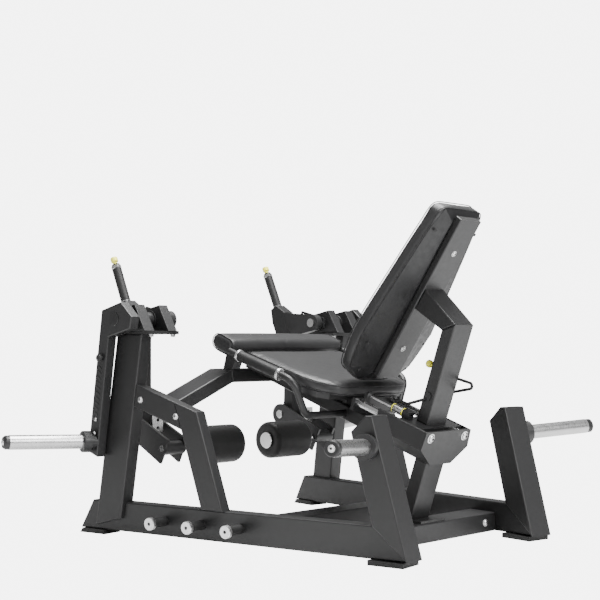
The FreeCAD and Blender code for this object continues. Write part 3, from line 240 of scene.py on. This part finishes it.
# ---------------------------------------------------------------- stage, camera
def make_stage():
    """Pale flat floor, even pale backdrop, three soft lights and the camera."""
    mesh = bpy.data.meshes.new("floor")
    size = 30.0
    mesh.from_pydata([(-size, -size, 0), (size, -size, 0), (size, size, 0), (-size, size, 0)],
                     [], [(0, 1, 2, 3)])
    floor = bpy.data.objects.new("floor", mesh)
    bpy.context.scene.collection.objects.link(floor)
    look = Look("floor_white", Specular_IOR_Level=0.25)
    look.colour(look.ramp(look.noise(0.6, 2.0), 0.90, 0.92))
    look.roughness(look.ramp(look.noise(3.0, 2.0), 0.40, 0.46))
    glow = look.node("ShaderNodeEmission", Strength=BACKDROP)
    seen = look.node("ShaderNodeLightPath").outputs["Is Camera Ray"]
    mix = look.node("ShaderNodeMixShader")
    look.link(seen, mix.inputs["Fac"])
    look.link(look.shader.outputs["BSDF"], mix.inputs[1])
    look.link(glow.outputs["Emission"], mix.inputs[2])
    look.link(mix.outputs["Shader"], look.tree.nodes["Material Output"].inputs["Surface"])
    mesh.materials.append(look.material)

    world = bpy.data.worlds.new("studio")
    world.use_nodes = True
    tree = world.node_tree
    background = tree.nodes["Background"]
    background.inputs["Color"].default_value = (1.0, 1.0, 1.0, 1)
    strength = tree.nodes.new("ShaderNodeMapRange")
    strength.inputs["To Min"].default_value = AMBIENT
    strength.inputs["To Max"].default_value = BACKDROP
    seen = tree.nodes.new("ShaderNodeLightPath").outputs["Is Camera Ray"]
    tree.links.new(seen, strength.inputs["Value"])
    tree.links.new(strength.outputs["Result"], background.inputs["Strength"])
    bpy.context.scene.world = world

    for name, spot, target, size, power in (
            ("key", (0.4, 4.6, 3.0), (0, 0, 0.5), 2.6, 230),
            ("top", (-0.2, 0.2, 4.6), (0, 0, 0.4), 3.2, 620),
            ("fill", (4.6, 0.2, 1.5), (0, 0, 0.5), 2.0, 24)):
        lamp = bpy.data.lights.new(name, "AREA")
        lamp.shape = "SQUARE"
        lamp.size = size
        lamp.energy = power
        lit = bpy.data.objects.new(name, lamp)
        lit.location = spot
        lit.rotation_euler = (Vector(target) - Vector(spot)).to_track_quat("-Z", "Y").to_euler()
        bpy.context.scene.collection.objects.link(lit)

    camera = bpy.data.cameras.new("camera")
    camera.sensor_width = 36.0
    camera.lens = 74.45
    eye = bpy.data.objects.new("camera", camera)
    eye.location = (3.3024, SHIFT + 2.3127, 0.663)
    eye.rotation_euler = (math.radians(92.108), 0, math.radians(133.314))
    bpy.context.scene.collection.objects.link(eye)
    bpy.context.scene.camera = eye


# ------------------------------------------------------------ building of pieces
def add_piece(name, verts, faces, material, body, matrix=MACHINE, smooth=True):
    """A mesh piece given in a frame's coordinates, riding on a CAD body."""
    mesh = bpy.data.meshes.new(name)
    mesh.from_pydata([matrix @ Vector(v) for v in verts], [], faces)
    mesh.materials.append(material)
    shaped = bmesh.new()
    shaped.from_mesh(mesh)
    bmesh.ops.recalc_face_normals(shaped, faces=shaped.faces)
    shaped.to_mesh(mesh)
    shaped.free()
    for face in mesh.polygons:
        face.use_smooth = smooth
    piece = bpy.data.objects.new(name, mesh)
    bpy.context.scene.collection.objects.link(piece)
    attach(piece, body)
    return piece


def sharpen(piece, degrees=35):
    """Keep hard edges crisp on a smooth piece."""
    mesh = piece.data
    shaped = bmesh.new()
    shaped.from_mesh(mesh)
    limit = math.radians(degrees)
    for edge in shaped.edges:
        if len(edge.link_faces) == 2 and edge.calc_face_angle(0) > limit:
            edge.smooth = False
    shaped.to_mesh(mesh)
    shaped.free()


def lathe(name, profile, matrix, material, body, segments=40, hollow=False):
    """Turned piece from (radius, height) points; a hollow one is a ring with an open bore."""
    verts = []
    faces = []
    for radius, height in profile:
        for step in range(segments):
            turn = 2 * math.pi * step / segments
            verts.append((radius * math.cos(turn), radius * math.sin(turn), height))
    rows = len(profile)
    for row in range(rows if hollow else rows - 1):
        above = (row + 1) % rows
        for step in range(segments):
            after = (step + 1) % segments
            faces.append((row * segments + step, row * segments + after,
                          above * segments + after, above * segments + step))
    if not hollow:
        faces.append(tuple(range(segments)))
        faces.append(tuple((rows - 1) * segments + step for step in range(segments)))
    piece = add_piece(name, verts, faces, material, body, matrix)
    sharpen(piece)
    return piece


def ring(name, inner, outer, width, matrix, material, body):
    """Hollow ring with small chamfers, its Z axis through the bore."""
    edge = 0.0008
    profile = [(inner, 0), (outer - edge, 0), (outer, edge), (outer, width - edge),
               (outer - edge, width), (inner, width)]
    return lathe(name, profile, matrix, material, body, hollow=True)


def hexagon(radius):
    """Corners of a hexagon."""
    return [(radius * math.cos(math.pi * k / 3), radius * math.sin(math.pi * k / 3))
            for k in range(6)]


def bolt(name, matrix, radius, body):
    """Button-head bolt on a washer, with a hexagon recess whose floor is painted shade."""
    base = 0.12 * radius
    profile = [(1.28 * radius, 0), (1.28 * radius, base - 0.0003), (1.24 * radius, base),
               (radius, base)]
    rise = 0.55 * radius
    for part in (0.25, 0.5, 0.75, 0.95):
        swing = part * math.pi / 2
        profile.append((radius * math.cos(swing * 0.75), base + rise * math.sin(swing)))
    rim = 0.46 * radius
    profile += [(rim, base + rise), (rim, base + 0.35 * rise)]
    head = lathe(name, profile, matrix, SATIN, body, 36)
    depth = base + 0.36 * rise
    corners = hexagon(rim * 0.97)
    verts = [(x, y, depth + 0.0002) for x, y in corners] + [(x, y, depth) for x, y in corners]
    faces = [tuple(range(6)), tuple(range(6, 12))]
    faces += [(k, (k + 1) % 6, 6 + (k + 1) % 6, 6 + k) for k in range(6)]
    # painted shade: a near-black hexagon on the recess floor
    add_piece(name + "_recess", verts, faces, PAINTED_SHADE, body, matrix, smooth=False)
    return head


def nut(name, matrix, radius, body):
    """Hexagon nut on a washer, with the bolt's end showing."""
    lathe(name + "_washer", [(radius * 1.3, 0), (radius * 1.3, 0.0013), (radius, 0.0015)],
          matrix, SATIN, body, 32)
    plate(name, hexagon(radius), 0.0014, 0.0014 + radius * 0.85, matrix, SATIN, body, 0.0006)
    lathe(name + "_end", [(radius * 0.52, 0.002), (radius * 0.52, radius * 1.02),
                          (radius * 0.44, radius * 1.12)], matrix, SATIN, body, 24)


def tube_along(name, points, radius, material, body, closed=False, sides=12):
    """Round tube swept along a line of points by parallel transport."""
    count = len(points)
    verts = []
    faces = []
    normal = None
    for index, point in enumerate(points):
        before = points[index - 1] if index or closed else point
        after = points[(index + 1) % count] if index + 1 < count or closed else point
        tangent = (after - before).normalized()
        if normal is None:
            normal = tangent.orthogonal().normalized()
        normal = (normal - tangent * normal.dot(tangent)).normalized()
        side = tangent.cross(normal)
        for step in range(sides):
            turn = 2 * math.pi * step / sides
            verts.append(point + (normal * math.cos(turn) + side * math.sin(turn)) * radius)
    rings = count if closed else count - 1
    for row in range(rings):
        following = (row + 1) % count
        for step in range(sides):
            after = (step + 1) % sides
            faces.append((row * sides + step, row * sides + after,
                          following * sides + after, following * sides + step))
    if not closed:
        faces.append(tuple(range(sides)))
        faces.append(tuple((count - 1) * sides + step for step in range(sides)))
    return add_piece(name, verts, faces, material, body)


def plate(name, outline, low, high, matrix, material, body, bevel=0.0015):
    """Flat plate with bevelled edges: an outline in XY of a frame, between two heights."""
    count = len(outline)
    verts = [(x, y, low) for x, y in outline] + [(x, y, high) for x, y in outline]
    faces = [tuple(range(count)), tuple(range(count, 2 * count))]
    faces += [(k, (k + 1) % count, count + (k + 1) % count, count + k) for k in range(count)]
    piece = add_piece(name, verts, faces, material, body, matrix, smooth=False)
    soften(piece, bevel)
    return piece


def soften(piece, width):
    """Apply a small rounding to a piece's hard edges."""
    bevel = piece.modifiers.new("bevel", "BEVEL")
    bevel.width = width
    bevel.segments = 2
    bevel.limit_method = "ANGLE"
    bevel.harden_normals = False
    keep_shape(piece)


def keep_shape(piece):
    """Turn a piece's modifiers into its mesh."""
    depsgraph = bpy.context.evaluated_depsgraph_get()
    made = bpy.data.meshes.new_from_object(piece.evaluated_get(depsgraph))
    piece.modifiers.clear()
    piece.data = made


def rounded(outline, reach, steps=5):
    """Outline with each corner cut back by reach and rounded."""
    points = []
    count = len(outline)
    for index, corner in enumerate(outline):
        here = Vector(corner)
        before = Vector(outline[index - 1])
        after = Vector(outline[(index + 1) % count])
        start = here + (before - here).normalized() * min(reach, (before - here).length * 0.45)
        end = here + (after - here).normalized() * min(reach, (after - here).length * 0.45)
        for step in range(steps + 1):
            t = step / steps
            points.append(tuple(start * (1 - t) ** 2 + here * 2 * t * (1 - t) + end * t ** 2))
    return points


def spread(outline, spacing):
    """The same closed outline with evenly spaced points."""
    points = [Vector(point) for point in outline]
    lengths = [(points[(k + 1) % len(points)] - points[k]).length for k in range(len(points))]
    count = max(12, round(sum(lengths) / spacing))
    step = sum(lengths) / count
    made = []
    index = 0
    passed = 0.0
    for number in range(count):
        wanted = number * step
        while passed + lengths[index] < wanted:
            passed += lengths[index]
            index += 1
        share = (wanted - passed) / max(lengths[index], 1e-9)
        made.append(points[index].lerp(points[(index + 1) % len(points)], share))
    return made


def inset(outline, distance):
    """Outline moved inwards, for a counter-clockwise outline."""
    made = []
    count = len(outline)
    for index, point in enumerate(outline):
        run = (outline[(index + 1) % count] - outline[index - 1]).normalized()
        made.append(point + Vector((-run.y, run.x)) * distance)
    return made


# ------------------------------------------------------------------------ pads
def cushion(name, outline, levels, matrix, node, body, slack):
    """Upholstered pad: an outline and (height, inset) levels, inflated as cloth.

    The lowest level is held, as by the board under the foam, and slack limits
    how far the cover may swell.
    """
    loop = spread(outline, SPACING)
    count = len(loop)
    verts = []
    faces = []
    for height, distance in levels:
        verts += [(p.x, p.y, height) for p in inset(loop, distance)]
    for row in range(len(levels) - 1):
        for k in range(count):
            after = (k + 1) % count
            faces.append((row * count + k, row * count + after,
                          (row + 1) * count + after, (row + 1) * count + k))
    faces.append(tuple(reversed(range(count))))
    faces.append(tuple((len(levels) - 1) * count + k for k in range(count)))
    piece = add_piece(name, verts, faces, VINYL, body, matrix)
    remesh = piece.modifiers.new("remesh", "REMESH")
    remesh.mode = "VOXEL"
    remesh.voxel_size = VOXEL
    keep_shape(piece)
    inflate(piece, matrix, levels[0][0], slack)
    smooth = piece.modifiers.new("smooth", "CORRECTIVE_SMOOTH")
    smooth.factor = 0.5
    smooth.iterations = 3
    smooth.smooth_type = "SIMPLE"
    smooth.use_only_smooth = True
    smooth.rest_source = "ORCO"
    finer = piece.modifiers.new("finer", "SUBSURF")
    finer.levels = 1
    finer.render_levels = 1
    keep_shape(piece)
    piece.data.materials.clear()
    piece.data.materials.append(VINYL)
    for face in piece.data.polygons:
        face.use_smooth = True
    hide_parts(node)
    return piece


def inflate(piece, matrix, held_height, slack):
    """Swell a remeshed pad with the cloth solver, holding its base and capping the move."""
    rest = [v.co.copy() for v in piece.data.vertices]
    inverse = matrix.inverted()
    group = piece.vertex_groups.new(name="held")
    held = [v.index for v in piece.data.vertices
            if (inverse @ v.co).z < held_height + HELD_BAND]
    group.add(held, 1.0, "REPLACE")
    cloth = piece.modifiers.new("cloth", "CLOTH")
    settings = cloth.settings
    settings.quality = 6
    settings.mass = 0.4
    settings.tension_stiffness = 40
    settings.compression_stiffness = 40
    settings.shear_stiffness = 20
    settings.bending_stiffness = 4
    settings.use_pressure = True
    settings.uniform_pressure_force = 4.0
    settings.effector_weights.gravity = 0.0
    settings.vertex_group_mass = "held"
    cloth.collision_settings.use_collision = False
    cloth.collision_settings.use_self_collision = False
    scene = bpy.context.scene
    for number in range(1, CLOTH_FRAMES + 1):
        scene.frame_set(number)
    depsgraph = bpy.context.evaluated_depsgraph_get()
    swollen = bpy.data.meshes.new_from_object(piece.evaluated_get(depsgraph))
    piece.modifiers.clear()
    scene.frame_set(1)
    for vertex, start in zip(swollen.vertices, rest):
        move = vertex.co - start
        if move.length > 1e-6:
            vertex.co = start + move.normalized() * slack * math.tanh(move.length / slack)
    piece.vertex_groups.clear()
    piece.data = swollen


def piping(name, outline, distance, height, matrix, body, radius=0.0017):
    """Thin welt along a pad's seam."""
    loop = inset(spread(outline, SPACING), distance)
    points = [matrix @ Vector((p.x, p.y, height)) for p in loop]
    welt = tube_along(name, points, radius, PIPING, body, closed=True, sides=8)
    return welt


def mirrored(half):
    """Closed outline, counter-clockwise, from the right half's points, bottom to top."""
    return [(x, y) for x, y in half] + [(-x, y) for x, y in reversed(half)]


def make_backrest_pad():
    """Tapered back pad with a rounded lower end, on its moulded shell."""
    facing_user = BACK_FRAME @ Matrix(((1, 0, 0, 0), (0, 0, -1, 0), (0, 1, 0, 0), (0, 0, 0, 1)))
    half = [(0.060, -0.046), (0.112, -0.030), (0.150, -0.008), (0.166, 0.018), (0.176, 0.058),
            (0.186, 0.110), (0.187, 0.160), (0.181, 0.215), (0.163, 0.335), (0.136, 0.515),
            (0.125, 0.575), (0.121, 0.612), (0.108, 0.634), (0.085, 0.641)]
    outline = rounded(mirrored(half), 0.03, 4)
    levels = [(0.0475, 0.004), (0.052, 0.0015), (0.068, 0.0015), (0.084, 0.0015), (0.092, 0.004),
              (0.0975, 0.012)]
    cushion("backrest_cushion", outline, levels, facing_user, "backrest_pad", "carriage", 0.004)
    piping("backrest_piping_front", outline, 0.0035, 0.0925, facing_user, "carriage")
    piping("backrest_piping_rear", outline, 0.003, 0.0500, facing_user, "carriage")


def make_seat_cushion():
    """Seat pad, straight at the front and rounded off towards the backrest."""
    half = [(0.118, -0.026), (0.150, -0.030), (0.178, -0.040), (0.200, -0.057), (0.219, -0.080),
            (0.237, -0.112), (0.248, -0.148), (0.2525, -0.190), (0.2525, -0.420),
            (0.2445, -0.4375)]
    outline = rounded(mirrored(half)[::-1], 0.03, 4)
    levels = [(-0.0415, 0.004), (-0.036, 0.0015), (-0.018, 0.0015), (-0.009, 0.004),
              (-0.0035, 0.012)]
    cushion("seat_cushion", outline, levels, SEAT_FRAME, "seat_pad", "frame", 0.004)
    piping("seat_piping_upper", outline, 0.0035, -0.0085, SEAT_FRAME, "frame")
    piping("seat_piping_lower", outline, 0.003, -0.0385, SEAT_FRAME, "frame")


def make_front_cushion():
    """Thigh pad across the seat's front edge."""
    across = Matrix.Translation((-0.294, SHIFT, 0)) @ Matrix(
        ((0, 0, 1, 0), (-1, 0, 0, 0), (0, -1, 0, 0), (0, 0, 0, 1)))
    corners = [(0.847, 0.679), (0.931, 0.713), (0.959, 0.698), (0.9625, 0.664), (0.931, 0.643),
               (0.863, 0.622)]
    outline = rounded([(f, -z) for f, z in corners], 0.022, 6)
    levels = [(0.0, 0.010), (0.0035, 0.004), (0.010, 0.001), (0.578, 0.001), (0.5845, 0.004),
              (0.588, 0.010)]
    cushion("front_cushion", outline, levels, across, "front_pad", "frame", 0.003)
    piping("front_piping_right", outline, 0.0025, 0.0065, across, "frame")
    piping("front_piping_left", outline, 0.0025, 0.5815, across, "frame")


def make_foot_rollers():
    """Foam rollers with rounded rims and shallow recesses in their ends."""
    for side, name in SIDES:
        body = "foot_roller_" + name
        place = Matrix.Translation(at(side * 0.086, 1.057, 0.301)) @ \
            Matrix.Rotation(side * math.pi / 2, 4, "Y")
        length = 0.190
        radius = 0.0698
        round_off = 0.017
        profile = [(0.0135, 0.004), (0.034, 0.004), (0.036, 0.0008)]
        for step in range(9):
            swing = step / 8 * math.pi / 2
            profile.append((radius - round_off + round_off * math.sin(swing),
                            round_off - round_off * math.cos(swing)))
        for share in (0.25, 0.5, 0.75):
            crown = 0.0002 * math.sin(math.pi * share)
            profile.append((radius + crown, round_off + (length - 2 * round_off) * share))
        for step in range(9):
            swing = math.pi / 2 - step / 8 * math.pi / 2
            profile.append((radius - round_off + round_off * math.sin(swing),
                            length - round_off + round_off * math.cos(swing)))
        profile += [(0.036, length - 0.0008), (0.034, length - 0.004), (0.0135, length - 0.004)]
        foam = lathe("foam_" + name, profile, place, FOAM, body, 96)
        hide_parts(body)


# --------------------------------------------------------------- small hardware
def horn_end(side, x, forward, up, turn, rise, reach):
    """Matrix at the end face of a plate horn, its Z axis along the horn."""
    turn = math.radians(turn)
    rise = math.radians(rise)
    direction = Vector((side * math.cos(turn) * math.cos(rise), -math.sin(turn) * math.cos(rise),
                        math.sin(rise)))
    return facing(MACHINE, at(side * x, forward, up) + direction * reach, direction)


def make_horn_bolts():
    """Bright bolts that hold the end caps of the four plate horns."""
    for side, name in SIDES:
        bolt("horn_bolt_" + name,
             horn_end(side, LEVER_FACE, 1.203, 0.328, 18.9, 1.4, 0.3175), 0.0085,
             "weight_arm_" + name)
        bolt("storage_bolt_" + name, horn_end(side, 0.448, 0.117, 0.358, -21.2, 3.4, 0.2715),
             0.0085, "frame")


def make_lever_hardware():
    """Hub cover, stop knob and two bolts on each weight lever's outer face."""
    for side, name in SIDES:
        body = "weight_arm_" + name
        out = (side, 0, 0)
        cover = facing(MACHINE, at(side * (LEVER_FACE - 0.0005), *PIVOT), out)
        lathe("hub_cover_" + name, [(0.0235, 0), (0.0235, 0.0025), (0.0225, 0.0035),
                                    (0.006, 0.0040)], cover, PAINT, body)
        knob = facing(MACHINE, at(side * LEVER_FACE, 1.160, 0.621), out)
        lathe("stop_knob_" + name, [(0.009, 0), (0.009, 0.004), (0.013, 0.005), (0.013, 0.013),
                                    (0.011, 0.016), (0.004, 0.0165)], knob, RUBBER, body)
        for number, (forward, up) in enumerate(((1.191, 0.406), (1.198, 0.357))):
            bolt("lever_bolt_%s_%d" % (name, number),
                 facing(MACHINE, at(side * LEVER_FACE, forward, up), out), 0.0062, body)


def make_frame_hardware():
    """Bolts on the braces, the rear crossbeam and the slide, and painted shade on the floors of
    the peg caps' bores.
    """
    for side, name in SIDES:
        place = side_frame(side)
        heads = []
        for number, (along, up) in enumerate(((1.051, 0.476), (0.893, 0.424))):
            heads.append(bolt("brace_bolt_%s_%d" % (name, number),
                              facing(place, (side * 0.045, -along, up), (side, 0, 0)),
                              0.0086, "frame"))
        heads.append(bolt("beam_bolt_" + name,
                          facing(MACHINE, at(side * 0.290, 0.190, 0.049), (0, 1, 0)),
                          0.0105, "frame"))
        heads.append(bolt("slide_bolt_" + name,
                          facing(SLIDE_FRAME, (side * 0.091, 0.008, 0), (0, 1, 0)),
                          0.0130, "frame"))
        for head in heads:
            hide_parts("frame_bolts")
        for number in range(3):
            spot = (side * PEG_RECESS, -(0.631 + 0.160 * number), 0.066)
            # painted shade: a near-black disc on the floor of each peg bore
            lathe("peg_bore_%s_%d" % (name, number), [(0.0048, 0), (0.0048, 0.0006),
                                                      (0.001, 0.0007)],
                  facing(place, spot, (side, 0, 0)), PAINTED_SHADE, "frame", 24)


def make_start_buttons():
    """Caps of the start buttons, and the grips below them between two bright rings."""
    up_the_grip = (0, -math.sin(HANDLE_LEAN), math.cos(HANDLE_LEAN))
    for side, name in SIDES:
        place = facing(MACHINE, at(side * 0.402, 1.302, 0.812), up_the_grip)
        cap = lathe("start_cap_" + name,
                    [(0.0083, 0.156), (0.0083, 0.1790), (0.0125, 0.1793), (0.0134, 0.1803),
                     (0.0134, 0.1930), (0.0118, 0.1970), (0.0070, 0.1990), (0.0020, 0.1995)],
                    place, YELLOW, "start_button_" + name)
        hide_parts("start_button_" + name)
        for number, (height, width) in enumerate(((0.0125, 0.0050), (0.1500, 0.0120))):
            ring("grip_ring_%s_%d" % (name, number), 0.0138, 0.0184, width,
                 place @ Matrix.Translation((0, 0, height)), CHROME, "roller_arm_" + name)
        ring("start_grip_" + name, 0.0138, 0.0178, 0.1325,
             place @ Matrix.Translation((0, 0, 0.0175)), RUBBER, "roller_arm_" + name)


def make_slide_spring():
    """Coil round the slide lock's body, between two yellow rings."""
    across, up = LOCK
    per_turn = 20
    steps = 9 * per_turn
    points = []
    for step in range(steps + 1):
        swing = 2 * math.pi * step / per_turn
        along = 0.137 + 0.036 * step / steps
        points.append(SLIDE_FRAME @ Vector((across + COIL_RADIUS * math.cos(swing), -along,
                                            up + COIL_RADIUS * math.sin(swing))))
    tube_along("slide_spring", points, 0.0010, SATIN, "carriage", sides=8)
    for number, along in enumerate((0.1310, 0.1745)):
        ring("slide_ring_%d" % number, 0.0138, 0.0147, 0.0044,
             facing(SLIDE_FRAME, (across, -along, up), (0, -1, 0)), YELLOW, "carriage")


def make_back_hardware():
    """Bolts of the backrest's channel, and dark screws in its moulded shell."""
    for number, height in enumerate((0.122, 0.500)):
        bolt("channel_bolt_%d" % number,
             facing(BACK_FRAME, (0, 0, height), (0, 1, 0)), 0.0080, "carriage")
    for side, name in SIDES:
        for number, (across, height) in enumerate(((0.125, 0.014), (0.150, 0.119),
                                                   (0.108, 0.560))):
            spot = (side * across, SHELL_REAR, height)
            lathe("shell_screw_%s_%d" % (name, number),
                  [(0.0055, 0), (0.0055, 0.0004), (0.0045, 0.0009), (0.0026, 0.0009),
                   (0.0022, 0.0002)],
                  facing(BACK_FRAME, spot, (0, 1, 0)), RUBBER, "carriage", 24)


def make_bearing_hardware():
    """Shaft tube between the bearing blocks, their flanges, and nuts under the plates."""
    for side, name in SIDES:
        out = (side, 0, 0)
        spot = at(side * 0.466, *PIVOT)
        lathe("bearing_tube_" + name, [(0.0270, 0), (0.0270, 0.062)],
              facing(MACHINE, spot, out), PAINT, "frame")
        for number, across in enumerate((0.4655, 0.5225)):
            ring("bearing_ring_%s_%d" % (name, number), 0.0268, 0.0325, 0.0054,
                 facing(MACHINE, at(side * across, *PIVOT), out), PAINT, "frame")
        place = side_frame(side)
        for number, (across, along) in enumerate(((-0.085, 1.015), (-0.085, 1.150),
                                                  (0.030, 1.015))):
            nut("plate_nut_%s_%d" % (name, number),
                facing(place, (side * across, -along, 0.7028), (0, 0, -1)), 0.0085, "frame")


def make_lever_ribs():
    """Slanted cast ribs in a narrow panel down each weight lever's outer face."""
    for side, name in SIDES:
        place = Matrix.Translation((side * LEVER_FACE, SHIFT, 0)) @ Matrix(
            ((0, 0, side, 0), (-1, 0, 0, 0), (0, 1, 0, 0), (0, 0, 0, 1)))
        for number in range(11):
            up = 0.400 + 0.018 * number
            along = 1.190 - 0.115 * (up - 0.400)
            corners = [(along - 0.010, up), (along + 0.010, up + 0.010),
                       (along + 0.010, up + 0.016), (along - 0.010, up + 0.006)]
            plate("lever_rib_%s_%d" % (name, number), corners, -0.0005, 0.0016, place, PAINT,
                  "weight_arm_" + name, 0.0005)


def make_fork_plates():
    """Bright plate between the fork's cheeks, with two adjustment holes drawn as discs of
    painted shade.
    """
    for side, name in SIDES:
        middle = side * 0.398
        place = Matrix.Translation((middle, SHIFT, 0)) @ Matrix(
            ((1, 0, 0, 0), (0, 0, -1, 0), (0, 1, 0, 0), (0, 0, 0, 1)))
        plate("fork_plate_" + name, rounded([(-0.024, 0.352), (0.024, 0.352), (0.024, 0.414),
                                             (-0.024, 0.414)], 0.004), 1.1275, 1.1315, place,
              SATIN, "roller_arm_" + name, 0.0005)
        for number, up in enumerate((0.368, 0.396)):
            # painted shade: a near-black disc stands in for each adjustment hole
            lathe("fork_hole_%s_%d" % (name, number), [(0.0062, 0), (0.0062, 0.0004),
                                                       (0.001, 0.0005)],
                  facing(MACHINE, at(middle, 1.1275, up), (0, 1, 0)), PAINTED_SHADE,
                  "roller_arm_" + name, 24)


dress_frame()
make_bearing_hardware()
make_lever_ribs()
make_fork_plates()
make_start_buttons()
make_slide_spring()
make_back_hardware()
make_horn_bolts()
make_lever_hardware()
make_frame_hardware()
make_backrest_pad()
make_seat_cushion()
make_front_cushion()
make_foot_rollers()
make_stage()
